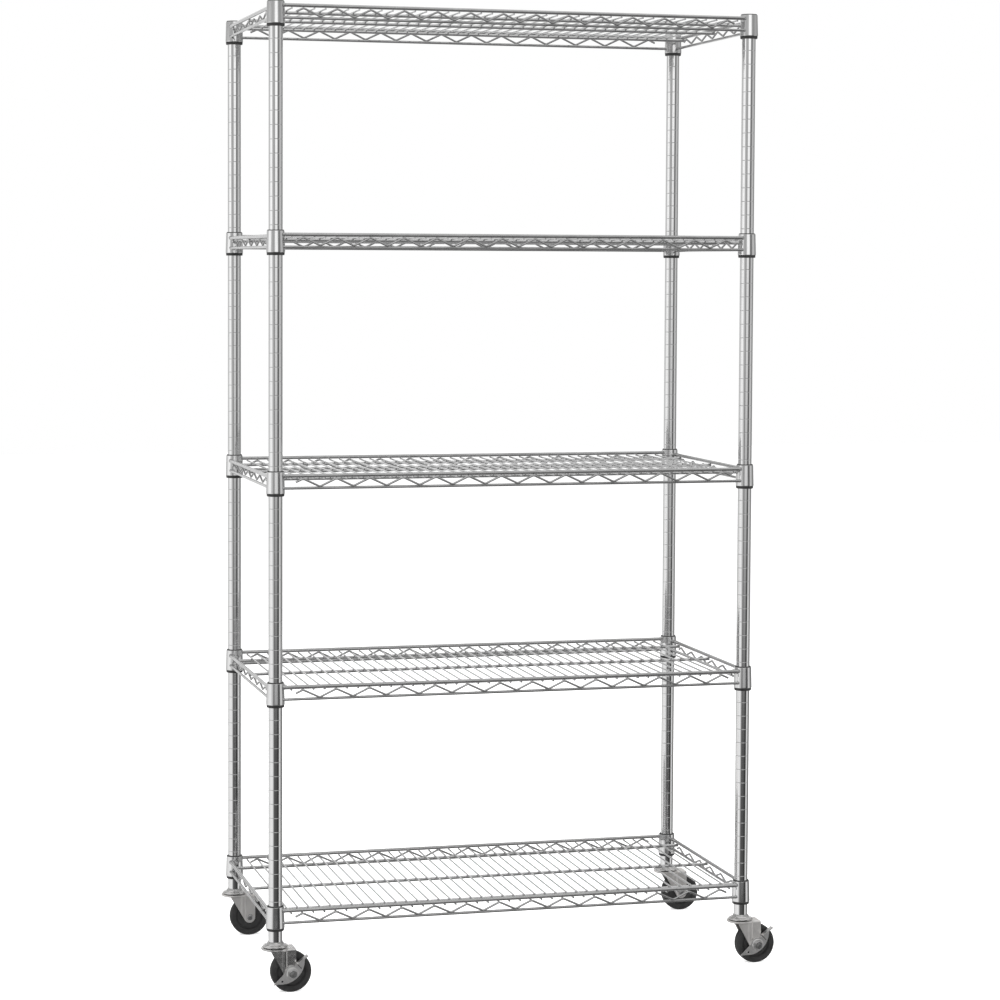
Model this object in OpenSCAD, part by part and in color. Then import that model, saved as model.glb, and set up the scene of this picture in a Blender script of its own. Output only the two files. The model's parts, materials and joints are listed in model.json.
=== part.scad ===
// Wire shelving rack: four grooved posts, five welded wire shelves and four swivel casters.
// Millimetres, +Z up, +X along the long side, +Y towards the back.
// The origin is on the floor, midway between the four posts.

/* [Posts] */
// Distance between post centres along the long side
post_span_x = 892; // [860:1:1000]
// Distance between post centres from front to back
post_span_y = 443; // [430:1:480]
// Outer diameter of a post
post_d = 25.4; // [25:0.1:25.6]
// Wall of the post's tube
post_wall = 1.3; // [1:0.1:2]
// Distance from groove to groove, the step of shelf heights
groove_pitch = 25.4; // [24:0.1:26]
// Depth of a groove
groove_depth = 0.4; // [0.4:0.1:0.7]

/* [Shelves] */
// Height of the bottom shelf's collars above the floor
shelf_start = 118; // [112:1:140]
// Grooves from shelf 1, the bottom one, to shelf 2
step_1 = 16; // [8:1:20]
// Grooves from shelf 2 to shelf 3
step_2 = 15; // [8:1:20]
// Grooves from shelf 3 to shelf 4
step_3 = 17; // [8:1:20]
// Grooves from shelf 4 to shelf 5, the top one
step_4 = 16; // [8:1:20]
// Height of a collar
collar_h = 39; // [38:0.5:42]
// Distance from deck wire to deck wire
deck_pitch = 20.44; // [19:0.01:22]
// Diameter of a deck wire
deck_wire_d = 3.2; // [2.6:0.1:3.4]
// Diameter of the top rods
top_rod_d = 6.8; // [5:0.1:7]
// Diameter of the bottom rods
bottom_rod_d = 5.2; // [4.6:0.1:5.6]
// Diameter of the zigzag wires
zigzag_d = 3.8; // [2.8:0.1:4]

/* [Casters] */
// Diameter of a wheel
wheel_d = 74; // [70:0.5:76]
// Width of a wheel
wheel_w = 24; // [20:0.5:25]
// Distance from the swivel axis back to the axle
trail = 28; // [26:0.5:31]
// Thickness of the fork's sheet
fork_t = 2.4; // [2:0.1:2.8]
// Across flats of the axle nut
nut_af = 12.7; // [11:0.1:13]

/* [Hidden] */
$fn = 64;

chrome = "silver";
zinc = "lightsteelblue";
black_plastic = "#1c1c1e";
rubber = "#2b2b2c";
steel = "gray";

// Where the four posts stand: left is -X, front is -Y
corners = ["front_left", "front_right", "back_left", "back_right"];
corner_signs = [[-1, -1], [1, -1], [-1, 1], [1, 1]];
function corner_xy(i) = [corner_signs[i][0] * post_span_x / 2, corner_signs[i][1] * post_span_y / 2];

// Heights of the shelves' collars, bottom edge
shelf_grooves = [0, step_1, step_1 + step_2, step_1 + step_2 + step_3, step_1 + step_2 + step_3 + step_4];
shelf_z = [for (grooves = shelf_grooves) shelf_start + grooves * groove_pitch];

// Fits
slip = 0.05;   // gap between nested pieces that don't turn
run = 0.06;    // radial gap of a turning fit
weld = 0.3;    // how far the deck's welded wires sink into each other
touch = 0.01;  // gap between rods and zigzag wires where they are spot-welded

// Post
post_r = post_d / 2;
post_bottom = 93;
post_top = shelf_z[4] + collar_h;
groove_w = 1.3;
groove_floor_w = 0.5;
groove_drop = 1.75;    // a groove sits this far below each collar
cap_rim_h = 1.2;
cap_plug_h = 14;
insert_h = 28;

// Collar and split sleeve
collar_bottom_r = 17;
collar_top_r = 15.9;
collar_lip = 1.2;      // rounding of the collar's bottom edge
sleeve_lip_h = 5;
sleeve_lip_r = 16.2;
sleeve_bottom_r = 15.4;
sleeve_top_r = 14.8;
sleeve_proud = 1.5;    // the sleeve shows this much above its collar
sleeve_slit = 1.2;
rib_reach = 0.35;

// Trusses: heights above the collar's bottom edge, and distance outside the posts' centre lines
bottom_rod_z = 9.8;
top_rod_z = 32;
long_truss_out = 11;
side_truss_out = 9.5;
rod_stop = 11.5;       // rods end this far short of a post's centre, on the collar's flank
bend_room = zigzag_d / 2 + 0.4;  // from a zigzag's bend to what it touches
side_zigzag_in = bottom_rod_d / 2 + 1.3;  // side zigzags lie this far inside their rods
zigzag_tip = 0.44;     // a zigzag's free tip, as a share of a half period
bend_past = 1.15;      // a zigzag's bars cross at each bend, this much beyond a sharp mitre
side_period = 62;
side_peaks = 6;

// Deck
deck_wire_z = top_rod_z - (top_rod_d + deck_wire_d) / 2 - touch;
support_d = 6;
support_z = deck_wire_z - (deck_wire_d + support_d) / 2 + weld;
support_y = 181;
side_top_rod_z = support_z + (support_d + top_rod_d) / 2 + touch;
wires_half = floor((post_span_x / 2 - 26) / deck_pitch + 0.5);
long_period = 3 * deck_pitch;
long_peaks = 2 * floor((post_span_x / 2 - 40) / long_period + 0.5);
wire_over = 2;         // deck wires run this far past the front and back top rods' centres
long_zigzag_out = wire_over + zigzag_d / 2 + slip;  // long zigzags lie outside the wires' ends
support_over = 1.6;    // support rods run this far past the side top rods' centres

// Caster heights
plate_top = 82.4;
race_gap = 1.6;
cup_bottom = plate_top + race_gap;
cup_r = 22.7;
cup_edge_h = 1.6;
cup_flare_r = 9.2;     // hollow curve from the cup's edge up to the post
plate_r = 26;
plate_rim_r = 1.8;     // rolled rim of the fork's top plate
ball_r = 2.4;
ball_circle_r = 15;
ball_count = 16;
ball_z = plate_top + race_gap / 2;
king_r = 5;
king_head_r = 8.5;
king_head_h = 2.6;
stem_r = 4.8;
stem_h = 32;

// Fork, wheel and axle
axle_z = wheel_d / 2;
axle_r = 4;
fork_half_w = 17.2;
fork_inner_w = fork_half_w - fork_t;
front_leg_reach = 7;   // the legs reach this far behind the axle: the braked front forks are slimmer
back_leg_reach = 10;
leg_end_r = 11;        // round lower end of a leg
leg_front_x = -9;
rib_x = 14;            // middle of the upright rib on each leg
rib_half_w = 5;
rib_proud = 1.3;
bend_r = 4;            // outside of the bends between top plate and legs
corner_r = 2.5;
hub_r = 25;
hub_boss_r = 9;
hub_gap = 0.4;         // running gap between hub boss and fork leg
tyre_edge_r = 5.5;
rivet_r = 6.2;
rivet_h = 1.4;

// Brake lever: a crescent plate on the camera side of the axle, with a pedal flange
lever_t = 2;
lever_gap = 1.6;       // the lever clears the legs' ribs
lever_y = -fork_half_w - lever_gap;
lever_head_r = 14;
lever_boss_r = 11;     // raised seat of the nut
lever_boss_h = 0.9;
tail = [-35.3, -20.2];
tail_hole = [-18.7, -13.9];
tail_hole_r = 1.9;
pedal_from = [6.4, 19.2];
pedal_to = [26, 34];
pedal_w = 11;
slit_from = [5, 20.4];
slit_to = [16.8, 7.6];
slit_w = 1.2;
nut_h = 6.5;
nut_gap = 0.15;

// ---------- helpers ----------

// A point at the end of a radius r at angle a
function polar(r, a) = [r * cos(a), r * sin(a)];

// Points of an arc about c from angle a0 to a1 in n steps
function arc(c, r, a0, a1, n) = [for (k = [0:n]) c + polar(r, a0 + (a1 - a0) * k / n)];

// A round bar between two points
module bar(p, q, d) {
    v = q - p;
    len = norm(v);
    translate(p)
        rotate([0, acos(v[2] / len), atan2(v[1], v[0])])
            cylinder(h = len, d = d);
}

module at_corners() {
    for (i = [0:3])
        translate([corner_xy(i)[0], corner_xy(i)[1], 0])
            children();
}

// ---------- posts ----------

// One groove's outline, going up the post's outer wall
function groove_points(z) = [
    [post_r, z - groove_w / 2],
    [post_r - groove_depth, z - groove_floor_w / 2],
    [post_r - groove_depth, z + groove_floor_w / 2],
    [post_r, z + groove_w / 2]
];

groove_start = shelf_start - groove_drop;
groove_count = floor((post_top - 3 - groove_start) / groove_pitch);

module post(i) {
    outer = [for (k = [0:groove_count], p = groove_points(groove_start + k * groove_pitch)) p];
    bore_r = post_r - post_wall;
    profile = concat([[bore_r, post_bottom], [post_r, post_bottom]], outer,
                     [[post_r, post_top], [bore_r, post_top]]);
    color(chrome)
        translate([corner_xy(i)[0], corner_xy(i)[1], 0])
            rotate_extrude()
                polygon(profile);
}

module post_caps() {
    plug_r = post_r - post_wall - slip;
    color(black_plastic)
        at_corners() {
            translate([0, 0, post_top - cap_plug_h])
                cylinder(h = cap_plug_h + cap_rim_h / 2, r = plug_r);
            translate([0, 0, post_top + slip])
                cylinder(h = cap_rim_h, r1 = post_r - 0.2, r2 = post_r - 1.4);
        }
}

module post_inserts() {
    color(steel)
        at_corners()
            translate([0, 0, post_bottom])
                difference() {
                    cylinder(h = insert_h, r = post_r - post_wall - slip);
                    translate([0, 0, -1])
                        cylinder(h = insert_h + 2, r = stem_r + slip);
                }
}

// ---------- shelf corners ----------

// Outer radius of a collar at height z above its bottom edge
function collar_outer(z) = collar_bottom_r + (collar_top_r - collar_bottom_r) * z / collar_h;

// Outer radius of the sleeve's taper at height z above the collar's bottom edge
function sleeve_outer(z) = sleeve_bottom_r + (sleeve_top_r - sleeve_bottom_r) * z / collar_h;

module collars(n) {
    bottom = arc([collar_outer(collar_lip) - collar_lip, collar_lip], collar_lip, -90, 0, 5);
    profile = concat(
        [[sleeve_outer(0) + slip, 0]],
        bottom,
        [[collar_outer(collar_h - 0.5), collar_h - 0.5],
         [collar_top_r - 0.5, collar_h],
         [sleeve_outer(collar_h) + slip, collar_h]]);
    color(chrome)
        at_corners()
            translate([0, 0, shelf_z[n]])
                rotate_extrude()
                    polygon(profile);
}

module split_sleeves(n) {
    bore = post_r + slip;
    rib_z = groove_pitch - groove_drop;
    top = collar_h + sleeve_proud;
    profile = [
        [bore, -sleeve_lip_h],
        [sleeve_lip_r - 0.6, -sleeve_lip_h],
        [sleeve_lip_r, -sleeve_lip_h + 0.6],
        [sleeve_lip_r, -slip],
        [sleeve_outer(0), -slip],
        [sleeve_outer(top), top],
        [bore, top],
        [bore, rib_z + groove_floor_w],
        [bore - rib_reach, rib_z + groove_floor_w / 4],
        [bore - rib_reach, rib_z - groove_floor_w / 4],
        [bore, rib_z - groove_floor_w]
    ];
    color(black_plastic)
        at_corners()
            translate([0, 0, shelf_z[n]])
                difference() {
                    rotate_extrude()
                        polygon(profile);
                    cube([4 * sleeve_lip_r, sleeve_slit, 3 * collar_h], center = true);
                }
}

// What the collars fill, so that the rods end on their flanks
module collar_blanks() {
    translate([0, 0, -1])
        cylinder(h = collar_h + 2, r1 = collar_outer(-1), r2 = collar_outer(collar_h + 1));
}

// ---------- trusses ----------

// Zigzag points in the truss's own plane: along it and up
function zigzag_points(peaks, period, low, high) = let (
        first = -(peaks - 1) / 2 * period,
        half = period / 2,
        tip_z = high - (high - low) * zigzag_tip,
        inner = [for (k = [0:2 * peaks - 2]) [first + k * half, k % 2 == 0 ? high : low]]
    ) concat(
        [[first - half * zigzag_tip, tip_z]],
        inner,
        [[-first + half * zigzag_tip, tip_z]]);

// A zigzag wire through points in the plane y = 0, given as [x, z]. Its bars run on past each
// bend by the amount past, so that they cross and close its outer side.
module bent_wire(points, d, past) {
    last = len(points) - 1;
    for (k = [0:last - 1]) {
        along = (points[k + 1] - points[k]) / norm(points[k + 1] - points[k]);
        from = points[k] - (k > 0 ? past : 0) * along;
        to = points[k + 1] + (k < last - 1 ? past : 0) * along;
        bar([from[0], 0, from[1]], [to[0], 0, to[1]], d);
    }
}

// A truss along X, its rods at y = 0, with heights above the collar's bottom edge. The zigzag
// lies at y = zigzag_y and leans on the bottom rod's side.
module truss(span, top_z, zigzag_top_z, peaks, period, zigzag_y) {
    rod_len = span - 2 * rod_stop;
    low = bottom_rod_z + sqrt(pow(bottom_rod_d / 2 + bend_room, 2) - pow(zigzag_y, 2));
    bar([-rod_len / 2, 0, top_z], [rod_len / 2, 0, top_z], top_rod_d);
    bar([-rod_len / 2, 0, bottom_rod_z], [rod_len / 2, 0, bottom_rod_z], bottom_rod_d);
    mitre = zigzag_d / 2 * (zigzag_top_z - low) / (period / 2);
    translate([0, zigzag_y, 0])
        bent_wire(zigzag_points(peaks, period, low, zigzag_top_z), zigzag_d, bend_past * mitre);
}

module long_trusses(n) {
    color(chrome)
        translate([0, 0, shelf_z[n]])
            difference() {
                for (side = [-1, 1])
                    translate([0, side * (post_span_y / 2 + long_truss_out), 0])
                        truss(post_span_x, top_rod_z, deck_wire_z, long_peaks, long_period,
                              side * long_zigzag_out);
                at_corners()
                    collar_blanks();
            }
}

module side_trusses(n) {
    peak_z = side_top_rod_z - top_rod_d / 2 - bend_room;
    color(chrome)
        translate([0, 0, shelf_z[n]])
            difference() {
                for (side = [-1, 1])
                    translate([side * (post_span_x / 2 + side_truss_out), 0, 0])
                        rotate([0, 0, 90])
                            truss(post_span_y, side_top_rod_z, peak_z, side_peaks, side_period,
                                  side * side_zigzag_in);
                at_corners()
                    collar_blanks();
            }
}

// ---------- deck ----------

module deck(n) {
    wire_end = post_span_y / 2 + long_truss_out + wire_over;
    support_end = post_span_x / 2 + side_truss_out + support_over;
    color(chrome)
        translate([0, 0, shelf_z[n]]) {
            for (k = [0:2 * wires_half - 1]) {
                x = (k - wires_half + 0.5) * deck_pitch;
                bar([x, -wire_end, deck_wire_z], [x, wire_end, deck_wire_z], deck_wire_d);
            }
            for (y = [-support_y, 0, support_y])
                bar([-support_end, y, support_z], [support_end, y, support_z], support_d);
        }
}

// ---------- casters, drawn about the swivel axis with the wheel trailing to +X ----------

// Threaded stem with its rivet head under the fork, and the domed race cup on it
module caster_stem() {
    head_z = plate_top - fork_t - 2 * run;
    cup_top = post_bottom - slip;
    cup = concat(
        [[king_r, cup_bottom], [cup_r, cup_bottom], [cup_r, cup_bottom + cup_edge_h]],
        arc([cup_r + 0.5, cup_top + cup_flare_r * sin(10)], cup_flare_r, 235, 190, 6),
        [[king_r, cup_top]]);
    color(zinc)
        difference() {
            union() {
                rotate_extrude()
                    polygon(cup);
                translate([0, 0, head_z])
                    cylinder(h = cup_bottom + 2 - head_z, r = king_r);
                translate([0, 0, head_z - king_head_h])
                    cylinder(h = king_head_h, r1 = king_head_r - 1.5, r2 = king_head_r);
                translate([0, 0, cup_bottom + 1])
                    cylinder(h = post_bottom + stem_h - cup_bottom - 1, r = stem_r);
            }
            ball_track();
        }
}

// The race that the balls run in, half in the cup and half in the fork's plate
module ball_track() {
    rotate_extrude()
        translate([ball_circle_r, ball_z])
            circle(r = ball_r + run);
}

module caster_balls() {
    color(steel)
        for (k = [0:ball_count - 1])
            rotate([0, 0, k * 360 / ball_count])
                translate([ball_circle_r, 0, ball_z])
                    sphere(r = ball_r, $fn = 24);
}

// Outline of the fork seen from the side, reaching this far behind the axle
module fork_side(reach) {
    back_x = trail + reach;
    end = arc([back_x - leg_end_r, axle_z], leg_end_r, 205, 360, 14);
    shoulder = arc([back_x - corner_r, plate_top - corner_r], corner_r, 0, 90, 5);
    polygon(concat(end, shoulder, [[leg_front_x, plate_top], [leg_front_x, plate_top - 5]]));
}

// Half of an arch seen along X: a leg, a bend and the top, with its outside at half width w
function arch_side(w, top, r) = concat([[w, 0]], arc([w - r, top - r], r, 0, 90, 6));

// An arch's outline, both halves
module arch(w, top, r) {
    for (side = [0, 1])
        mirror([side, 0])
            polygon(concat(arch_side(w, top, r), [[0, top], [-1, top], [-1, 0]]));
}

// The fork's bent sheet, seen along X
module fork_section() {
    difference() {
        arch(fork_half_w, plate_top, bend_r);
        translate([0, -1])
            arch(fork_inner_w, plate_top - fork_t + 1, bend_r - fork_t);
    }
}

// The rib on the leg on the +Y side, seen from above
module rib_plan() {
    r = (pow(rib_half_w, 2) + pow(rib_proud, 2)) / (2 * rib_proud);
    intersection() {
        translate([rib_x, fork_half_w + rib_proud - r])
            circle(r = r);
        translate([rib_x - r, fork_half_w - fork_t / 2])
            square(2 * r);
    }
}

module rolled_rim() {
    rotate_extrude()
        translate([plate_r - plate_rim_r, plate_top - plate_rim_r - 0.1])
            circle(r = plate_rim_r);
}

module caster_fork(reach) {
    color(zinc)
        difference() {
            union() {
                translate([0, 0, plate_top - fork_t])
                    cylinder(h = fork_t, r = plate_r - 0.4);
                rolled_rim();
                intersection() {
                    rotate([90, 0, 0])
                        linear_extrude(4 * fork_half_w, center = true)
                            fork_side(reach);
                    union() {
                        rotate([90, 0, 90])
                            linear_extrude(4 * plate_r, center = true)
                                fork_section();
                        for (side = [0, 1])
                            mirror([0, side, 0])
                                linear_extrude(plate_top - bend_r - 1)
                                    rib_plan();
                    }
                }
            }
            cylinder(h = 2 * plate_top, r = king_r + run);
            translate([trail, 0, axle_z])
                rotate([90, 0, 0])
                    cylinder(h = 3 * fork_half_w, r = axle_r + slip, center = true);
            ball_track();
        }
}

module hex_prism(af, h) {
    cylinder(h = h, d = af / cos(30), $fn = 6);
}

// Bolt and nut through both legs and the brake lever
module bolted_axle() {
    head_y = fork_half_w + slip;
    nut_y = lever_y - lever_t - lever_boss_h - nut_gap;
    color(steel)
        translate([trail, 0, axle_z])
            rotate([90, 0, 0]) {
                translate([0, 0, -head_y])
                    cylinder(h = head_y - nut_y + nut_h + 1.5, r = axle_r);
                translate([0, 0, -head_y - 5])
                    hex_prism(nut_af, 5 + slip);
                translate([0, 0, -nut_y])
                    difference() {
                        hex_prism(nut_af, nut_h);
                        translate([0, 0, -1])
                            cylinder(h = nut_h + 2, r = axle_r + slip);
                    }
            }
}

// Rivet through both legs
module riveted_axle() {
    half = fork_half_w + slip;
    color(zinc)
        translate([trail, 0, axle_z])
            rotate([90, 0, 0]) {
                cylinder(h = 2 * half, r = axle_r, center = true);
                for (side = [0, 180])
                    rotate([side, 0, 0])
                        translate([0, 0, half - slip / 2])
                            cylinder(h = rivet_h, r1 = rivet_r, r2 = rivet_r - 1.6);
            }
}

module caster_hub() {
    boss = fork_inner_w - hub_gap;
    core = wheel_w / 2 - 2;
    profile = [
        [axle_r + run, -boss], [hub_boss_r, -boss], [hub_boss_r + 1, -core], [hub_r, -core],
        [hub_r, core], [hub_boss_r + 1, core], [hub_boss_r, boss], [axle_r + run, boss]
    ];
    color(black_plastic)
        translate([trail, 0, axle_z])
            rotate([90, 0, 0])
                rotate_extrude()
                    polygon(profile);
}

module caster_tyre() {
    r = wheel_d / 2;
    half = wheel_w / 2;
    edge = tyre_edge_r;
    profile = concat(
        [[hub_r + slip, -half + 2], [hub_r + 3, -half]],
        arc([r - edge, -half + edge], edge, -90, 0, 8),
        arc([r - edge, half - edge], edge, 0, 90, 8),
        [[hub_r + 3, half], [hub_r + slip, half - 2]]);
    color(rubber)
        translate([trail, 0, axle_z])
            rotate([90, 0, 0])
                rotate_extrude($fn = 96)
                    polygon(profile);
}

// Crescent outline of the brake lever about the axle
module lever_outline() {
    difference() {
        polygon(concat(
            [tail],
            arc([-19, 22], 41, 262, 360, 16),
            [pedal_to, pedal_from],
            arc([0, 0], lever_head_r, 70, 174, 10)));
        circle(r = axle_r + run);
        translate(tail_hole)
            circle(r = tail_hole_r);
        slit = slit_to - slit_from;
        translate(slit_from)
            rotate(atan2(slit[1], slit[0]))
                translate([0, -slit_w / 2])
                    square([norm(slit), slit_w]);
    }
}

module brake_lever() {
    run_dir = pedal_to - pedal_from;
    tilt = atan2(run_dir[1], run_dir[0]);
    color(zinc)
        translate([trail, lever_y, axle_z])
            rotate([90, 0, 0]) {
                linear_extrude(lever_t)
                    lever_outline();
                translate([0, 0, lever_t - 0.1])
                    difference() {
                        cylinder(h = lever_boss_h + 0.1, r1 = lever_boss_r, r2 = lever_boss_r - 1.2);
                        cylinder(h = 3 * lever_boss_h, r = axle_r + run, center = true);
                    }
                translate(concat(pedal_from, [0]))
                    rotate([0, 0, tilt])
                        translate([0, -lever_t, 0])
                            cube([norm(run_dir), lever_t, pedal_w]);
            }
}

module caster(i, piece) {
    translate([corner_xy(i)[0], corner_xy(i)[1], 0]) {
        if (piece == "stem") caster_stem();
        if (piece == "balls") caster_balls();
        if (piece == "fork") caster_fork(i < 2 ? front_leg_reach : back_leg_reach);
        if (piece == "axle" && i < 2) bolted_axle();
        if (piece == "axle" && i > 1) riveted_axle();
        if (piece == "hub") caster_hub();
        if (piece == "tyre") caster_tyre();
        if (piece == "brake_lever") brake_lever();
    }
}

// ---------- nodes ----------

for (i = [0:3])
    post(i);
post_caps();
post_inserts();
for (n = [0:4]) {
    long_trusses(n);
    side_trusses(n);
    deck(n);
    collars(n);
    split_sleeves(n);
}
for (i = [0:3], piece = ["stem", "balls", "fork", "axle", "hub", "tyre"])
    caster(i, piece);
for (i = [0:1])
    caster(i, "brake_lever");
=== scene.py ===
"""Looks of a wire shelving rack: smooth meshes, procedural materials, studio light and camera.

Metres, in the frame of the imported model: +Z up, the floor at z = 0.
"""

import json
import math

import bmesh
import bpy
from mathutils import Matrix, Vector


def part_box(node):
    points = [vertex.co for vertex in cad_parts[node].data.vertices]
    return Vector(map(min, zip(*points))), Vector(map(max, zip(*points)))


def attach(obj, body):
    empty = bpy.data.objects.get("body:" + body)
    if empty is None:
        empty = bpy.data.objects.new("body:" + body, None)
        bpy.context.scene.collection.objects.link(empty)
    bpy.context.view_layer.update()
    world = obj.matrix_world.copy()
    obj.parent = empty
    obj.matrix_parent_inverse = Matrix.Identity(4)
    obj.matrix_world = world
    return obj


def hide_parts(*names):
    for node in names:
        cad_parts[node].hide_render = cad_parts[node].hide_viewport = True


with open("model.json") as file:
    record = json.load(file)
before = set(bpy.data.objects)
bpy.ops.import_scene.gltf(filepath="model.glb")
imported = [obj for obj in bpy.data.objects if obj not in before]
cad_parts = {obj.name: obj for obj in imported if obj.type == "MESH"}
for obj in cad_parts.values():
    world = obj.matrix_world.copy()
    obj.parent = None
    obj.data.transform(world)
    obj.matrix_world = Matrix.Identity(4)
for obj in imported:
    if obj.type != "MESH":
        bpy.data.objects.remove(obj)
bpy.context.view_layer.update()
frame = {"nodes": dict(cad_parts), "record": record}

MM = 0.001
CORNERS = ["front_left", "front_right", "back_left", "back_right"]
SHELVES = ["shelf_1", "shelf_2", "shelf_3", "shelf_4", "shelf_5"]
RECORD = frame["record"]
SLOT_OF = {part["node"]: part["material_slot"] for part in RECORD["subparts"]}
BODY_OF = {node: body for body, nodes in RECORD["behaviour"]["bodies"].items() for node in nodes}

# Wire and tube sizes that no node's box gives
GROOVE_PITCH = 25.4 * MM
GROOVE_DROP = 1.75 * MM       # a groove sits this far below each collar
POST_WALL = 1.3 * MM
DECK_WIRE_R = 1.6 * MM
SUPPORT_R = 3.0 * MM
TOP_ROD_R = 3.4 * MM
BOTTOM_ROD_R = 2.6 * MM
ZIGZAG_R = 1.9 * MM
DECK_PITCH = 20.44 * MM
SUPPORT_Y = 181 * MM
SLIP = 0.05 * MM              # play between two parts that slide or press together
WELD = 0.3 * MM               # how far welded wires sink into each other
SPOT_GAP = 0.01 * MM          # gap between a rod and what is spot-welded to it
BEND_ROOM = 0.4 * MM          # gap between a zigzag's bends and the rods
WIRE_OVER = 2.0 * MM          # deck wires run this far past the long top rods' centres
LONG_ZIGZAG_OUT = WIRE_OVER + ZIGZAG_R + SLIP  # long zigzags lie outside the wires' ends
SIDE_ZIGZAG_IN = BOTTOM_ROD_R + 1.3 * MM       # side zigzags lie inside their rods
ZIGZAG_TIP = 0.44             # a zigzag's free tip, as a share of a half period
ZIGZAG_BEND = 3.2 * MM        # its bends start this far from their corners
BOTTOM_ROD_Z = 9.8 * MM       # above the collars' bottom edge
TOP_ROD_Z = 32 * MM
ROD_SHORT = 11.5 * MM         # rods end this far inside the posts' centres
LONG_SHORT = 40 * MM          # room kept clear of long zigzags at each post
DECK_SHORT = 26 * MM          # room kept clear of deck wires at each post
SIDE_PERIOD = 62 * MM
SIDE_PEAKS = 6


# ---------- mesh helpers ----------

class Shape:
    """Collects rings, tubes and turned forms, and makes one mesh of them."""

    def __init__(self):
        self.verts = []
        self.faces = []

    def add(self, verts, faces):
        start = len(self.verts)
        self.verts += [Vector(v) for v in verts]
        self.faces += [[start + i for i in face] for face in faces]

    def rings(self, rings, loop=False, caps=True):
        """Skins a list of rings, each with the same number of points."""
        n = len(rings[0])
        verts = [v for ring in rings for v in ring]
        last = len(rings) if loop else len(rings) - 1
        faces = []
        for i in range(last):
            j = (i + 1) % len(rings)
            for k in range(n):
                m = (k + 1) % n
                faces.append([i * n + k, i * n + m, j * n + m, j * n + k])
        if caps and not loop:
            faces.append(list(range(n))[::-1])
            faces.append([(len(rings) - 1) * n + k for k in range(n)])
        self.add(verts, faces)

    def turned(self, profile, place, segments=64, arc=None):
        """Turns a closed profile of (radius, height) about the local Z of the matrix place.
        With arc = (start, end) in radians it turns part of the way and closes the ends."""
        start, end = arc or (0.0, 2 * math.pi)
        steps = segments + 1 if arc else segments
        rings = []
        for s in range(steps):
            a = start + (end - start) * s / segments
            c, d = math.cos(a), math.sin(a)
            rings.append([place @ Vector((r * c, r * d, h)) for r, h in profile])
        self.rings(rings, loop=arc is None, caps=arc is not None)

    def solid_turned(self, profile, place, segments=64):
        """Turns an open profile whose two ends lie on the axis."""
        first = place @ Vector((0, 0, profile[0][1]))
        last = place @ Vector((0, 0, profile[-1][1]))
        rings = []
        for r, h in profile[1:-1]:
            ring = [2 * math.pi * s / segments for s in range(segments)]
            rings.append([place @ Vector((r * math.cos(a), r * math.sin(a), h)) for a in ring])
        n = segments
        verts = [first] + [v for ring in rings for v in ring] + [last]
        faces = [[0, 1 + (k + 1) % n, 1 + k] for k in range(n)]
        for i in range(len(rings) - 1):
            for k in range(n):
                m = (k + 1) % n
                a, b = 1 + i * n, 1 + (i + 1) * n
                faces.append([a + k, a + m, b + m, b + k])
        top, end = 1 + (len(rings) - 1) * n, len(verts) - 1
        faces += [[end, top + k, top + (k + 1) % n] for k in range(n)]
        self.add(verts, faces)

    def tube(self, points, radius, sides):
        """A round wire along points, with its sheared ends slightly chamfered."""
        points = [Vector(p) for p in points]
        first, last = (points[1] - points[0]).normalized(), (points[-1] - points[-2]).normalized()
        chamfer, end_radius = 0.35 * radius, 0.72 * radius
        line = [(points[0], end_radius), (points[0] + first * chamfer, radius)]
        line += [(p, radius) for p in points[1:-1]]
        line += [(points[-1] - last * chamfer, radius), (points[-1], end_radius)]
        side = first.orthogonal().normalized()
        rings = []
        for i, (p, r) in enumerate(line):
            before, after = line[max(i - 1, 0)][0], line[min(i + 1, len(line) - 1)][0]
            along = (after - before).normalized()
            side = (side - along * side.dot(along)).normalized()
            other = along.cross(side)
            turn = [2 * math.pi * k / sides for k in range(sides)]
            rings.append([p + side * (r * math.cos(a)) + other * (r * math.sin(a)) for a in turn])
        self.rings(rings)


def soften(points, cut, steps=4, closed=False):
    """Rounds the corners of a line of points, starting cut before each corner."""
    points = [Vector(p) for p in points]
    n = len(points)
    out = []
    for i, p in enumerate(points):
        here = cut[i] if isinstance(cut, (list, tuple)) else cut
        if here <= 0 or (not closed and i in (0, n - 1)):
            out.append(p)
            continue
        a, b = points[i - 1] - p, points[(i + 1) % n] - p
        room = min(here, 0.48 * a.length, 0.48 * b.length)
        start, end = p + a.normalized() * room, p + b.normalized() * room
        for k in range(steps + 1):
            t = k / steps
            out.append(start * (1 - t) ** 2 + p * (2 * t * (1 - t)) + end * t ** 2)
    return out


def arc_points(centre, radius, start, end, steps):
    """Points of an arc in degrees, as (x, y)."""
    angles = [math.radians(start + (end - start) * k / steps) for k in range(steps + 1)]
    return [Vector((centre[0] + radius * math.cos(a), centre[1] + radius * math.sin(a))) for a in angles]


def publish(shape, node, sharp=35.0, finish=None):
    """Makes the piece that stands for a CAD node, rides on its body and takes its finish."""
    mesh = bpy.data.meshes.new(node + "_visual")
    mesh.from_pydata(shape.verts, [], shape.faces)
    bm = bmesh.new()
    bm.from_mesh(mesh)
    bmesh.ops.recalc_face_normals(bm, faces=bm.faces)
    bm.to_mesh(mesh)
    bm.free()
    publish_mesh(mesh, node, sharp, finish)


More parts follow.
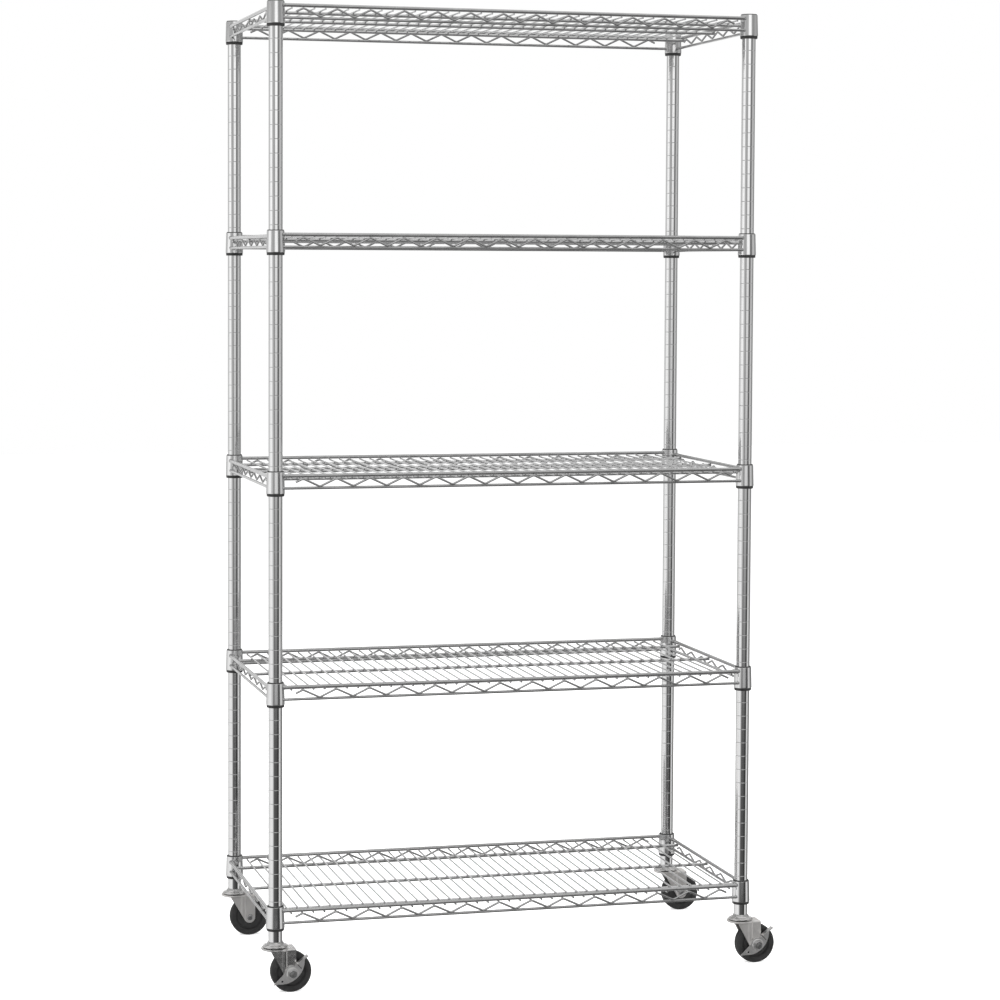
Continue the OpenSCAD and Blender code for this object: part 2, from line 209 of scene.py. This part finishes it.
def publish_mesh(mesh, node, sharp, finish=None):
    """Adds a mesh as the smooth-shaded piece that stands for a CAD node."""
    mesh.polygons.foreach_set("use_smooth", [True] * len(mesh.polygons))
    mesh.set_sharp_from_angle(angle=math.radians(sharp))
    piece = bpy.data.objects.new(node + "_visual", mesh)
    bpy.context.scene.collection.objects.link(piece)
    mesh.materials.append(MATERIALS[finish or SLOT_OF[node]])
    weighted = piece.modifiers.new("weighted_normals", "WEIGHTED_NORMAL")
    weighted.keep_sharp = True
    weighted.weight = 50
    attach(piece, BODY_OF[node])
    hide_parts(node)


def at(x, y, z):
    return Matrix.Translation(Vector((x, y, z)))


def across(x, y, z):
    """Places a turned form so that its axis runs along -Y."""
    return at(x, y, z) @ Matrix.Rotation(math.pi / 2, 4, "X")


def centre_of(node):
    low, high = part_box(node)
    return (low + high) / 2


def post_radius(corner):
    low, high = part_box("post_" + corner)
    return (high.x - low.x) / 2


# ---------- materials ----------

class Nodes:
    """A short way to build a node tree."""

    def __init__(self, tree):
        self.tree = tree

    def add(self, kind, values=None, **attributes):
        node = self.tree.nodes.new(kind)
        for name, value in attributes.items():
            setattr(node, name, value)
        for socket, value in (values or {}).items():
            node.inputs[socket].default_value = value
        return node

    def link(self, out, into):
        self.tree.links.new(out, into)


def grey(value, warm=0.0):
    return (value * (1 + warm), value, value * (1 - warm), 1.0)


def new_material(name):
    material = bpy.data.materials.new(name)
    material.use_nodes = True
    nodes = Nodes(material.node_tree)
    shader = material.node_tree.nodes["Principled BSDF"]
    coords = nodes.add("ShaderNodeTexCoord").outputs["Object"]
    return material, nodes, shader, coords


def stretched(nodes, coords, scale):
    mapping = nodes.add("ShaderNodeMapping", {"Scale": scale})
    nodes.link(coords, mapping.inputs["Vector"])
    return mapping.outputs["Vector"]


def noise(nodes, coords, scale, detail=4.0, roughness=0.55):
    texture = nodes.add("ShaderNodeTexNoise", {"Scale": scale, "Detail": detail, "Roughness": roughness})
    nodes.link(coords, texture.inputs["Vector"])
    return texture.outputs["Fac"]


def ranged(nodes, value, low, high, from_low=0.3, from_high=0.7):
    scaled = nodes.add("ShaderNodeMapRange", {"From Min": from_low, "From Max": from_high,
                                              "To Min": low, "To Max": high})
    nodes.link(value, scaled.inputs["Value"])
    return scaled.outputs["Result"]


def blended(nodes, value, colour_a, colour_b, low=0.3, high=0.7):
    ramp = nodes.add("ShaderNodeValToRGB")
    ramp.color_ramp.elements[0].position = low
    ramp.color_ramp.elements[0].color = colour_a
    ramp.color_ramp.elements[1].position = high
    ramp.color_ramp.elements[1].color = colour_b
    nodes.link(value, ramp.inputs["Fac"])
    return ramp.outputs["Color"]


def bumped(nodes, height, shader, strength, distance):
    bump = nodes.add("ShaderNodeBump", {"Strength": strength, "Distance": distance})
    nodes.link(height, bump.inputs["Height"])
    nodes.link(bump.outputs["Normal"], shader.inputs["Normal"])


def metal(name, dark, light, rough, patch_scale, grain_scale, grain, grain_strength=0.0, warm=0.0):
    """Plated or bare metal: patchy tone, uneven gloss and, where it shows, a fine grain."""
    material, nodes, shader, coords = new_material(name)
    shader.inputs["Metallic"].default_value = 1.0
    patches = noise(nodes, coords, patch_scale, 3.0)
    nodes.link(blended(nodes, patches, grey(dark, warm), grey(light, warm)), shader.inputs["Base Color"])
    smears = noise(nodes, stretched(nodes, coords, grain), grain_scale, 3.0, 0.5)
    nodes.link(ranged(nodes, smears, rough[0], rough[1]), shader.inputs["Roughness"])
    if grain_strength:
        bumped(nodes, smears, shader, grain_strength, 0.02 * MM)
    return material


def moulded(name, dark, light, rough, patch_scale, grain_scale, depth):
    """Moulded plastic or rubber with a fine skin texture."""
    material, nodes, shader, coords = new_material(name)
    patches = noise(nodes, coords, patch_scale, 6.0)
    nodes.link(blended(nodes, patches, grey(dark), grey(light)), shader.inputs["Base Color"])
    grain = noise(nodes, coords, grain_scale, 3.0, 0.7)
    nodes.link(ranged(nodes, grain, rough[0], rough[1]), shader.inputs["Roughness"])
    bumped(nodes, grain, shader, 0.35, depth)
    return material


MATERIALS = {
    "chrome_post": metal("chrome_post", 0.80, 0.86, (0.05, 0.11), 9, 30, (3, 3, 0.3)),
    "chrome_wire": metal("chrome_wire", 0.52, 0.64, (0.12, 0.22), 25, 60, (2, 2, 2)),
    # Painted light: a lighter copy of the wire chrome that stands in for the light the deck wires catch.
    # The plating is the same.
    "chrome_deck_painted_lighter": metal("chrome_deck_painted_lighter", 0.64, 0.74, (0.14, 0.24), 25, 60, (2, 2, 2)),
    "chrome_collar": metal("chrome_collar", 0.76, 0.84, (0.08, 0.17), 20, 60, (3, 3, 0.6)),
    "black_plastic": moulded("black_plastic", 0.010, 0.022, (0.34, 0.5), 90, 1600, 0.05 * MM),
    "insert_steel": metal("insert_steel", 0.36, 0.48, (0.28, 0.42), 70, 300, (1, 1, 8), 0.1),
    "zinc_plate": metal("zinc_plate", 0.70, 0.84, (0.15, 0.27), 60, 200, (1, 1, 1), 0.0, 0.01),
    # Painted light: a brighter copy of the zinc plate that stands in for the light and highlights the brake
    # levers catch.
    "zinc_painted_bright_lever": metal("zinc_painted_bright_lever", 0.88, 0.98, (0.30, 0.46), 70, 260, (1, 1, 1), 0.0, 0.01),
    # Painted light: a lighter, rougher copy of the zinc plate that stands in for the light three of the
    # forks catch. The plating is the same as on the front left fork.
    "zinc_painted_lighter": metal("zinc_painted_lighter", 0.86, 0.95, (0.44, 0.58), 60, 260, (1, 1, 1), 0.0, 0.02),
    "zinc_bolt": metal("zinc_bolt", 0.40, 0.55, (0.24, 0.38), 160, 500, (1, 1, 1), 0.1),
    "bearing_steel": metal("bearing_steel", 0.46, 0.6, (0.08, 0.2), 200, 500, (1, 1, 1)),
    "hub_plastic": moulded("hub_plastic", 0.014, 0.026, (0.5, 0.65), 120, 1400, 0.06 * MM),
    "rubber_tyre": moulded("rubber_tyre", 0.012, 0.024, (0.58, 0.78), 90, 1100, 0.1 * MM),
}


# ---------- posts ----------

def groove_line(z):
    """A rolled groove's outline going up the wall, as (depth, height)."""
    half = [(0, 0.8), (0, 0.58), (0.05, 0.45), (0.18, 0.2)]
    below = [(depth, -up) for depth, up in half]
    above = [(depth, up) for depth, up in reversed(half)]
    return [(-depth * MM, z + up * MM) for depth, up in below + [(0.22, 0)] + above]


def make_post(corner):
    node = "post_" + corner
    low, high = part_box(node)
    centre, r = centre_of(node), post_radius(corner)
    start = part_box("shelf_1_collars")[0].z - GROOVE_DROP
    plain_end = 3 * MM
    count = int((high.z - plain_end - start) / GROOVE_PITCH) + 1
    edge = 0.3 * MM
    wall = [(r, low.z + edge)]
    for k in range(count):
        wall += [(r + dr, z) for dr, z in groove_line(start + k * GROOVE_PITCH)]
    wall.append((r, high.z - edge))
    bore = r - POST_WALL
    profile = [(bore, low.z), (r - edge, low.z)] + wall + [(r - edge, high.z), (bore, high.z)]
    shape = Shape()
    shape.turned(profile, at(centre.x, centre.y, 0), 64)
    publish(shape, node)


def make_caps():
    """Black press-in caps with a crowned top."""
    low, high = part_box("post_caps")
    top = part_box("post_front_left")[1].z
    shape = Shape()
    for corner in CORNERS:
        post = centre_of("post_" + corner)
        r = post_radius(corner)
        plug = r - POST_WALL - SLIP
        line = [(0, low.z), (plug, low.z), (plug, top), (r - 0.2 * MM, top + SLIP),
                (r - 0.5 * MM, high.z - 0.4 * MM), (r * 0.7, high.z - 0.05 * MM), (0, high.z)]
        cut = [0, 0.5 * MM, 0, 0.2 * MM, 0.4 * MM, 2 * MM, 0]
        shape.solid_turned(soften(line, cut), at(post.x, post.y, 0), 48)
    publish(shape, "post_caps")


def make_inserts():
    """Bushes that hold the caster stems in the posts' ends."""
    low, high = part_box("post_inserts")
    bore = 4.85 * MM
    shape = Shape()
    for corner in CORNERS:
        post = centre_of("post_" + corner)
        r = post_radius(corner) - POST_WALL - SLIP
        line = [(bore, low.z), (r, low.z), (r, high.z), (bore, high.z)]
        shape.turned(soften(line, 0.6 * MM, 3, closed=True), at(post.x, post.y, 0), 48)
    publish(shape, "post_inserts")


# ---------- shelf corners ----------

def make_collars(shelf):
    """Tapered pressed collars with a rolled bottom edge."""
    node = shelf + "_collars"
    low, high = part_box(node)
    height = high.z - low.z
    bottom_r, bottom_bore = 17 * MM, 15.45 * MM
    top_r, top_bore = 15.9 * MM, 14.85 * MM
    roll = (bottom_r - 0.05 * MM, 2.4 * MM)
    line = [(bottom_bore, 0), (bottom_r, 0), roll, (top_r, height), (top_bore, height)]
    cut = [0.3 * MM, 1.6 * MM, 0.6 * MM, 0.5 * MM, 0.2 * MM]
    shape = Shape()
    for corner in CORNERS:
        post = centre_of("post_" + corner)
        shape.turned(soften(line, cut, 6, closed=True), at(post.x, post.y, low.z), 72)
    publish(shape, node)


def make_sleeves(shelf):
    """Black split sleeves: two halves with a lip under the collar, proud of it at the top."""
    node = shelf + "_split_sleeves"
    low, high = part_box(node)
    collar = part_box(shelf + "_collars")[0].z
    bore, lip, seat, mouth = 12.75 * MM, 16.2 * MM, 15.4 * MM, 14.8 * MM
    lip_top = collar - SLIP
    line = [(bore, low.z), (lip - 0.5 * MM, low.z), (lip, collar - 1 * MM), (lip, lip_top),
            (seat, lip_top), (mouth, high.z), (bore, high.z)]
    cut = [0.3 * MM, 0.8 * MM, 0.6 * MM, 0.25 * MM, 0, 0.5 * MM, 0.3 * MM]
    slit = 0.6 * MM / bore
    shape = Shape()
    for corner in CORNERS:
        post = centre_of("post_" + corner)
        for start in (0, math.pi):
            ends = (start + slit, start + math.pi - slit)
            shape.turned(soften(line, cut, 3, closed=True), at(post.x, post.y, 0), 32, ends)
    publish(shape, node)


# ---------- shelves ----------

def zigzag_line(peaks, period, low, high):
    """The bent wire's corners in its own plane, as (along, up)."""
    first, half = -(peaks - 1) / 2 * period, period / 2
    tip = high - (high - low) * ZIGZAG_TIP
    inner = [(first + k * half, low if k % 2 else high) for k in range(2 * peaks - 1)]
    reach = half * ZIGZAG_TIP
    return [(first - reach, tip)] + inner + [(-first + reach, tip)]


def weld_bead(shape, point, direction, radius):
    """A small round of weld metal where a rod meets a collar."""
    place = Matrix.Translation(point) @ direction.to_track_quat("Z", "Y").to_matrix().to_4x4()
    line = [(0, -0.9), (0.75, -0.75), (1.12, -0.2), (1.1, 0.35), (0.8, 1.1), (0, 1.25)]
    shape.solid_turned(soften([(r * radius, h * radius) for r, h in line], 0.25 * radius, 3), place, 16)


def make_truss(shape, span, top_z, peak_z, peaks, period, base, place, zigzag_y):
    """Two rods along the local X of place, and a zigzag wire between them at local y = zigzag_y."""
    rod_end = span / 2 - ROD_SHORT
    low = BOTTOM_ROD_Z + math.sqrt((BOTTOM_ROD_R + ZIGZAG_R + BEND_ROOM) ** 2 - zigzag_y ** 2)
    for z, r in ((top_z, TOP_ROD_R), (BOTTOM_ROD_Z, BOTTOM_ROD_R)):
        ends = [place @ Vector((side * rod_end, 0, base + z)) for side in (-1, 1)]
        shape.tube(ends, r, 20)
        along = (ends[1] - ends[0]).normalized()
        weld_bead(shape, ends[0] + along * 0.9 * r, -along, r)
        weld_bead(shape, ends[1] - along * 0.9 * r, along, r)
    line = zigzag_line(peaks, period, low, peak_z)
    corners = [place @ Vector((x, zigzag_y, base + z)) for x, z in line]
    shape.tube(soften(corners, ZIGZAG_BEND, 4), ZIGZAG_R, 14)


def make_shelf(shelf, posts_x, posts_y):
    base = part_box(shelf + "_collars")[0].z
    wire_z = TOP_ROD_Z - TOP_ROD_R - DECK_WIRE_R - SPOT_GAP
    support_z = wire_z - DECK_WIRE_R - SUPPORT_R + WELD
    side_top_z = support_z + SUPPORT_R + TOP_ROD_R + SPOT_GAP

    node = shelf + "_long_trusses"
    low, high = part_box(node)
    period = 3 * DECK_PITCH
    peaks = 2 * int((posts_x / 2 - LONG_SHORT) / period + 0.5)
    shape = Shape()
    zigzag_reach = LONG_ZIGZAG_OUT + ZIGZAG_R
    for y, zigzag_y in ((low.y + zigzag_reach, -LONG_ZIGZAG_OUT), (high.y - zigzag_reach, LONG_ZIGZAG_OUT)):
        make_truss(shape, posts_x, TOP_ROD_Z, wire_z, peaks, period, base, at(0, y, 0), zigzag_y)
    publish(shape, node)

    node = shelf + "_side_trusses"
    low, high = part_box(node)
    shape = Shape()
    peak_z = side_top_z - TOP_ROD_R - ZIGZAG_R - BEND_ROOM
    for x, zigzag_y in ((low.x + TOP_ROD_R, -SIDE_ZIGZAG_IN), (high.x - TOP_ROD_R, SIDE_ZIGZAG_IN)):
        place = at(x, 0, 0) @ Matrix.Rotation(math.pi / 2, 4, "Z")
        make_truss(shape, posts_y, side_top_z, peak_z, SIDE_PEAKS, SIDE_PERIOD, base, place, zigzag_y)
    publish(shape, node)

    node = shelf + "_deck"
    low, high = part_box(node)
    half = int((posts_x / 2 - DECK_SHORT) / DECK_PITCH + 0.5)
    shape = Shape()
    for k in range(2 * half):
        x = (k - half + 0.5) * DECK_PITCH
        ends = [(x, y, base + wire_z) for y in (low.y, high.y)]
        shape.tube(ends, DECK_WIRE_R, 14)
    for y in (-SUPPORT_Y, 0, SUPPORT_Y):
        shape.tube([(x, y, base + support_z) for x in (low.x, high.x)], SUPPORT_R, 18)
    # The deck wires take the lighter copy of the wire chrome: painted light.
    publish(shape, node, finish="chrome_deck_painted_lighter")


# ---------- casters ----------

def make_stem(corner):
    """Domed race cup, threaded stem and the rivet head under the fork."""
    node = f"caster_{corner}_stem"
    low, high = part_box(node)
    post = centre_of("post_" + corner)
    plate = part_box(f"caster_{corner}_fork")[1].z
    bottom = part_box("post_" + corner)[0].z
    cup = 22.7 * MM
    cup_z = plate + 1.6 * MM
    shape = Shape()
    place = at(post.x, post.y, 0)
    shape.solid_turned(soften([
        (0, cup_z), (11.5 * MM, cup_z), (12.6 * MM, cup_z + 1.4 * MM), (15 * MM, cup_z + 2 * MM),
        (17.4 * MM, cup_z + 1.4 * MM), (18.5 * MM, cup_z), (cup, cup_z), (cup, cup_z + 2.4 * MM),
        (cup - 2.8 * MM, cup_z + 3.9 * MM), (cup - 6.2 * MM, cup_z + 4.5 * MM),
        (15 * MM, bottom - 2.6 * MM), (14.2 * MM, bottom - SLIP), (0, bottom - SLIP)],
        [0, 0.5 * MM, 0.8 * MM, 1.2 * MM, 0.8 * MM, 0.5 * MM, 0.6 * MM, 1.2 * MM, 1.6 * MM, 1.2 * MM,
         1 * MM, 0.5 * MM, 0], 5), place, 72)
    stem_r = 4.8 * MM
    shape.solid_turned(soften([
        (0, bottom - 1 * MM), (stem_r, bottom - 1 * MM), (stem_r, high.z), (0, high.z)],
        [0, 0, 1 * MM, 0], 3), place, 32)
    head = 8.5 * MM
    head_z = plate - 2.52 * MM
    shape.solid_turned(soften([
        (0, low.z), (head - 1.5 * MM, low.z), (head, head_z), (5 * MM, head_z), (5 * MM, cup_z + 1 * MM),
        (0, cup_z + 1 * MM)],
        [0, 0.8 * MM, 0.4 * MM, 0, 0, 0], 4), place, 48)
    publish(shape, node)


def bevelled_copy(node, width, segments=3, sharp=30.0, finish=None):
    """A copy of a CAD node's mesh, cleaned and with its edges rounded."""
    source = frame["nodes"][node].data
    bm = bmesh.new()
    bm.from_mesh(source)
    bmesh.ops.remove_doubles(bm, verts=bm.verts, dist=0.002 * MM)
    bmesh.ops.dissolve_limit(bm, angle_limit=math.radians(0.6), verts=bm.verts, edges=bm.edges)
    mesh = bpy.data.meshes.new(node + "_clean")
    bm.to_mesh(mesh)
    bm.free()
    mesh.materials.clear()
    holder = bpy.data.objects.new(node + "_holder", mesh)
    bpy.context.scene.collection.objects.link(holder)
    bevel = holder.modifiers.new("bevel", "BEVEL")
    bevel.width = width
    bevel.segments = segments
    bevel.limit_method = "ANGLE"
    bevel.angle_limit = math.radians(sharp)
    bpy.context.view_layer.update()
    shown = holder.evaluated_get(bpy.context.evaluated_depsgraph_get())
    rounded = bpy.data.meshes.new_from_object(shown)
    bpy.data.objects.remove(holder)
    publish_mesh(rounded, node, 45.0, finish)


def hex_form(shape, across_flats, height, place):
    """A hexagon head or nut with turned corners, its base at local z = 0."""
    flat = across_flats / 2
    crown = flat * 0.97
    segments = 72
    base, waist, rim = [], [], []
    for s in range(segments):
        a = 2 * math.pi * s / segments
        within = (math.degrees(a) + 30) % 60 - 30
        r = flat / math.cos(math.radians(within))
        drop = (r - crown) * math.tan(math.radians(30))
        c, d = math.cos(a), math.sin(a)
        base.append(place @ Vector((r * c, r * d, 0)))
        waist.append(place @ Vector((r * c, r * d, height - drop)))
        rim.append(place @ Vector((crown * c, crown * d, height)))
    shape.rings([base, waist, rim])


def make_axle(corner):
    """A bolt and nut on the casters with a brake lever, a riveted pin on the others."""
    node = f"caster_{corner}_axle"
    low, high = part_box(node)
    axle = centre_of(f"caster_{corner}_tyre")
    shaft = 4 * MM
    shape = Shape()
    if corner.startswith("front"):
        flats, head, nut = 12.7 * MM, 5 * MM, 6.5 * MM
        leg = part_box(f"caster_{corner}_fork")[1].y
        nut_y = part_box(f"caster_{corner}_brake_lever")[1].y - 2.9 * MM - 0.15 * MM
        length = high.y - low.y - head
        bolt = [(0, 0), (shaft, 0), (shaft, length), (0, length)]
        place = across(axle.x, high.y - head, axle.z)
        shape.solid_turned(soften(bolt, [0, 0, 0.8 * MM, 0], 3), place, 40)
        hex_form(shape, flats, head, across(axle.x, leg, axle.z) @ Matrix.Rotation(math.pi, 4, "X"))
        hex_form(shape, flats, nut, across(axle.x, nut_y, axle.z))
    else:
        half = (high.y - low.y) / 2
        head, rim = 6.2 * MM, 1.4 * MM
        line = [(0, -half), (head - 2.4 * MM, -half + 0.1 * MM), (head, -half + rim),
                (shaft, -half + rim), (shaft, half - rim), (head, half - rim),
                (head - 2.4 * MM, half - 0.1 * MM), (0, half)]
        cut = [0, 1 * MM, 0.3 * MM, 0, 0, 0.3 * MM, 1 * MM, 0]
        shape.solid_turned(soften(line, cut, 4), across(axle.x, axle.y, axle.z), 48)
    publish(shape, node)


def make_hub(corner):
    """The wheel's moulded core, with a boss round the axle and a rim under the tyre."""
    node = f"caster_{corner}_hub"
    low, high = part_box(node)
    axle = centre_of(f"caster_{corner}_tyre")
    boss = (high.y - low.y) / 2
    core = 9.6 * MM
    r = (high.z - low.z) / 2
    rim = core - 0.8 * MM
    half = [(4.06, boss), (8.6, boss), (9.6, core + 0.4 * MM), (13, core), (21.5, core), (22.5, rim)]
    side = [(x * MM, y) for x, y in half] + [(r, rim)]
    line = [(x, -y) for x, y in side] + [(x, y) for x, y in reversed(side)]
    shape = Shape()
    shape.turned(soften(line, 0.5 * MM, 3, closed=True), across(axle.x, axle.y, axle.z), 72)
    publish(shape, node)


def make_tyre(corner):
    """Solid rubber tyre with rounded shoulders and a moulding line on each side."""
    node = f"caster_{corner}_tyre"
    low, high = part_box(node)
    axle, half, r = centre_of(node), (high.y - low.y) / 2, (high.z - low.z) / 2
    bore = 25.05 * MM
    shoulder = 5.5 * MM
    side = [(bore, half - 2 * MM), (26.4 * MM, half - 0.6 * MM), (28 * MM, half - 0.05 * MM)]
    side += [(29.3 * MM, half), (29.5 * MM, half - 0.12 * MM), (29.7 * MM, half)]
    side += arc_points((r - shoulder, half - shoulder), shoulder, 90, 0, 10)
    line = [(p[0], -p[1]) for p in side] + [(p[0], p[1]) for p in reversed(side)]
    shape = Shape()
    shape.turned(line, across(axle.x, axle.y, axle.z), 112)
    publish(shape, node, 40.0)


def paint(node):
    """Gives a CAD node that stays its finish."""
    mesh = frame["nodes"][node].data
    mesh.materials.clear()
    mesh.materials.append(MATERIALS[SLOT_OF[node]])


# ---------- build ----------

left, right = centre_of("post_front_left"), centre_of("post_back_right")
span_x, span_y = right.x - left.x, right.y - left.y

for corner in CORNERS:
    make_post(corner)
make_caps()
make_inserts()
for shelf in SHELVES:
    make_collars(shelf)
    make_sleeves(shelf)
    make_shelf(shelf, span_x, span_y)
for corner in CORNERS:
    make_stem(corner)
    # The front right and both back forks take the lighter copy of the zinc: painted light for the light
    # they catch, not a different plating.
    finish = None if corner == "front_left" else "zinc_painted_lighter"
    bevelled_copy(f"caster_{corner}_fork", 0.5 * MM, finish=finish)
    make_axle(corner)
    make_hub(corner)
    make_tyre(corner)
    paint(f"caster_{corner}_balls")
for corner in ("front_left", "front_right"):
    # The brake levers take the brighter copy of the zinc: painted light.
    bevelled_copy(f"caster_{corner}_brake_lever", 0.35 * MM, 2, finish="zinc_painted_bright_lever")


# ---------- studio ----------

# Reflected brightness by direction, in degrees to the right of the camera as seen from the rack.
# The upper bands show in the collars of the top shelf, the high ones in the upper posts and the
# low ones in the lower posts. What lies behind the rack shows in the deck wires.
UPPER_BANDS = [(-180, 0.92), (-154, 0.92), (-147, 0.30), (-138, 0.42), (-40, 0.44), (-12, 0.52),
               (-4, 1.15), (24, 1.15), (34, 0.42), (60, 0.32), (90, 0.42), (150, 0.26),
               (160, 0.92), (180, 0.92)]
HIGH_BANDS = [(-180, 0.92), (-154, 0.92), (-147, 0.30), (-140, 0.58), (-100, 0.64), (-90, 1.15),
              (-58, 1.15), (-48, 0.48), (-10, 0.40), (-2, 1.15), (28, 1.15), (38, 0.22),
              (60, 0.19), (70, 0.54), (104, 0.58), (116, 0.28), (150, 0.24), (160, 0.92),
              (180, 0.92)]
LOW_BANDS = [(-180, 0.90), (-154, 0.90), (-147, 0.28), (-138, 0.52), (-112, 0.84), (-50, 0.94),
             (-36, 0.78), (-24, 0.24), (-12, 0.10), (24, 0.08), (40, 0.045), (60, 0.045),
             (68, 0.80), (88, 0.80), (98, 0.26), (150, 0.18), (160, 0.90), (180, 0.90)]


def direction_bands(nodes, turn, bands):
    ramp = nodes.add("ShaderNodeValToRGB")
    stops = ramp.color_ramp.elements
    while len(stops) < len(bands):
        stops.new(0.5)
    for stop, (angle, level) in zip(stops, bands):
        stop.position = angle / 360 + 0.5
        stop.color = grey(level)
    nodes.link(turn, ramp.inputs["Fac"])
    return ramp.outputs["Color"]


def studio_world(camera):
    """White to the camera; to everything else a studio of soft light and dark bands."""
    world = bpy.data.worlds.new("studio")
    bpy.context.scene.world = world
    world.use_nodes = True
    nodes = Nodes(world.node_tree)
    world.node_tree.nodes.clear()
    towards = Vector((camera.location.x, camera.location.y, 0)).normalized()
    rightwards = Vector((-towards.y, towards.x, 0))
    coords = nodes.add("ShaderNodeTexCoord").outputs["Generated"]

    def along(direction):
        dot = nodes.add("ShaderNodeVectorMath", operation="DOT_PRODUCT")
        nodes.link(coords, dot.inputs[0])
        dot.inputs[1].default_value = direction
        return dot.outputs["Value"]

    angle = nodes.add("ShaderNodeMath", operation="ARCTAN2")
    nodes.link(along(rightwards), angle.inputs[0])
    nodes.link(along(towards), angle.inputs[1])
    turn = ranged(nodes, angle.outputs[0], 0.0, 1.0, -math.pi, math.pi)
    up = along((0, 0, 1))

    def mixed(factor, a, b):
        mix = nodes.add("ShaderNodeMix", data_type="RGBA")
        nodes.link(factor, mix.inputs[0])
        for socket, colour in ((mix.inputs[6], a), (mix.inputs[7], b)):
            if isinstance(colour, tuple):
                socket.default_value = colour
            else:
                nodes.link(colour, socket)
        return mix.outputs[2]

    level = ranged(nodes, up, 0.0, 1.0, -0.17, 0.06)
    lower = mixed(level, direction_bands(nodes, turn, LOW_BANDS), direction_bands(nodes, turn, HIGH_BANDS))
    bands = mixed(ranged(nodes, up, 0.0, 1.0, 0.08, 0.13), lower, direction_bands(nodes, turn, UPPER_BANDS))
    ceiling = mixed(ranged(nodes, up, 0.0, 1.0, 0.25, 0.45), bands, grey(0.42))
    with_roof = mixed(ranged(nodes, up, 0.0, 1.0, 0.62, 0.80), ceiling, grey(0.85))
    room = mixed(ranged(nodes, up, 1.0, 0.0, -0.8, -0.4), with_roof, grey(0.22))
    seen = nodes.add("ShaderNodeLightPath").outputs["Is Camera Ray"]
    background = nodes.add("ShaderNodeBackground")
    nodes.link(mixed(seen, room, grey(1.0)), background.inputs["Color"])
    output = nodes.add("ShaderNodeOutputWorld")
    nodes.link(background.outputs[0], output.inputs["Surface"])


def softbox(name, location, target, size, power):
    """A soft rectangular light, aimed at target and left out of reflections."""
    light = bpy.data.lights.new(name, "AREA")
    light.shape = "RECTANGLE"
    light.size, light.size_y = size
    light.energy = power
    holder = bpy.data.objects.new(name, light)
    bpy.context.scene.collection.objects.link(holder)
    holder.location = location
    holder.rotation_euler = (Vector(target) - Vector(location)).to_track_quat("-Z", "Y").to_euler()
    holder.visible_glossy = False


def make_floor():
    """A plain pale floor, bright enough to run into the white background."""
    material, nodes, shader, coords = new_material("pale_floor")
    mottle = noise(nodes, coords, 3.0)
    nodes.link(blended(nodes, mottle, grey(0.9), grey(0.93)), shader.inputs["Base Color"])
    shader.inputs["Roughness"].default_value = 0.9
    shader.inputs["Specular IOR Level"].default_value = 0.1
    shader.inputs["Emission Color"].default_value = grey(1.0)
    shader.inputs["Emission Strength"].default_value = 0.55
    half = 14.0
    verts = [(-half, -half, 0), (half, -half, 0), (half, half, 0), (-half, half, 0)]
    mesh = bpy.data.meshes.new("floor")
    mesh.from_pydata(verts, [], [(0, 1, 2, 3)])
    mesh.materials.append(material)
    floor = bpy.data.objects.new("floor", mesh)
    bpy.context.scene.collection.objects.link(floor)
    floor.visible_glossy = False


def make_camera():
    """Level with the fourth shelf, to the left of the rack's middle, with a long lens."""
    lens = bpy.data.cameras.new("camera")
    lens.sensor_width = 36.0
    lens.lens = 99.871
    lens.shift_y = -0.085
    lens.clip_end = 60.0
    camera = bpy.data.objects.new("camera", lens)
    bpy.context.scene.collection.objects.link(camera)
    yaw, pitch, roll = math.radians(15.006), math.radians(-3.104), math.radians(0.278)
    ahead = Vector((math.sin(yaw) * math.cos(pitch), math.cos(yaw) * math.cos(pitch), math.sin(pitch)))
    level_right = Vector((math.cos(yaw), -math.sin(yaw), 0))
    level_up = level_right.cross(ahead)
    right_axis = level_right * math.cos(roll) + level_up * math.sin(roll)
    up_axis = level_up * math.cos(roll) - level_right * math.sin(roll)
    axes = Matrix((right_axis, up_axis, -ahead)).transposed().to_4x4()
    camera.matrix_world = Matrix.Translation((-1.3423, -5.1174, 1.3174)) @ axes
    bpy.context.scene.camera = camera
    return camera


camera = make_camera()
studio_world(camera)
make_floor()
softbox("key", (-2.6, -2.8, 3.4), (0, 0, 0.8), (2.4, 2.4), 130)
softbox("fill", (3.0, -2.2, 2.2), (0, 0, 0.7), (2.0, 2.6), 80)
softbox("back", (0.4, 3.2, 3.0), (0, 0, 0.8), (2.6, 1.6), 60)
bpy.context.scene.view_settings.view_transform = "Standard"
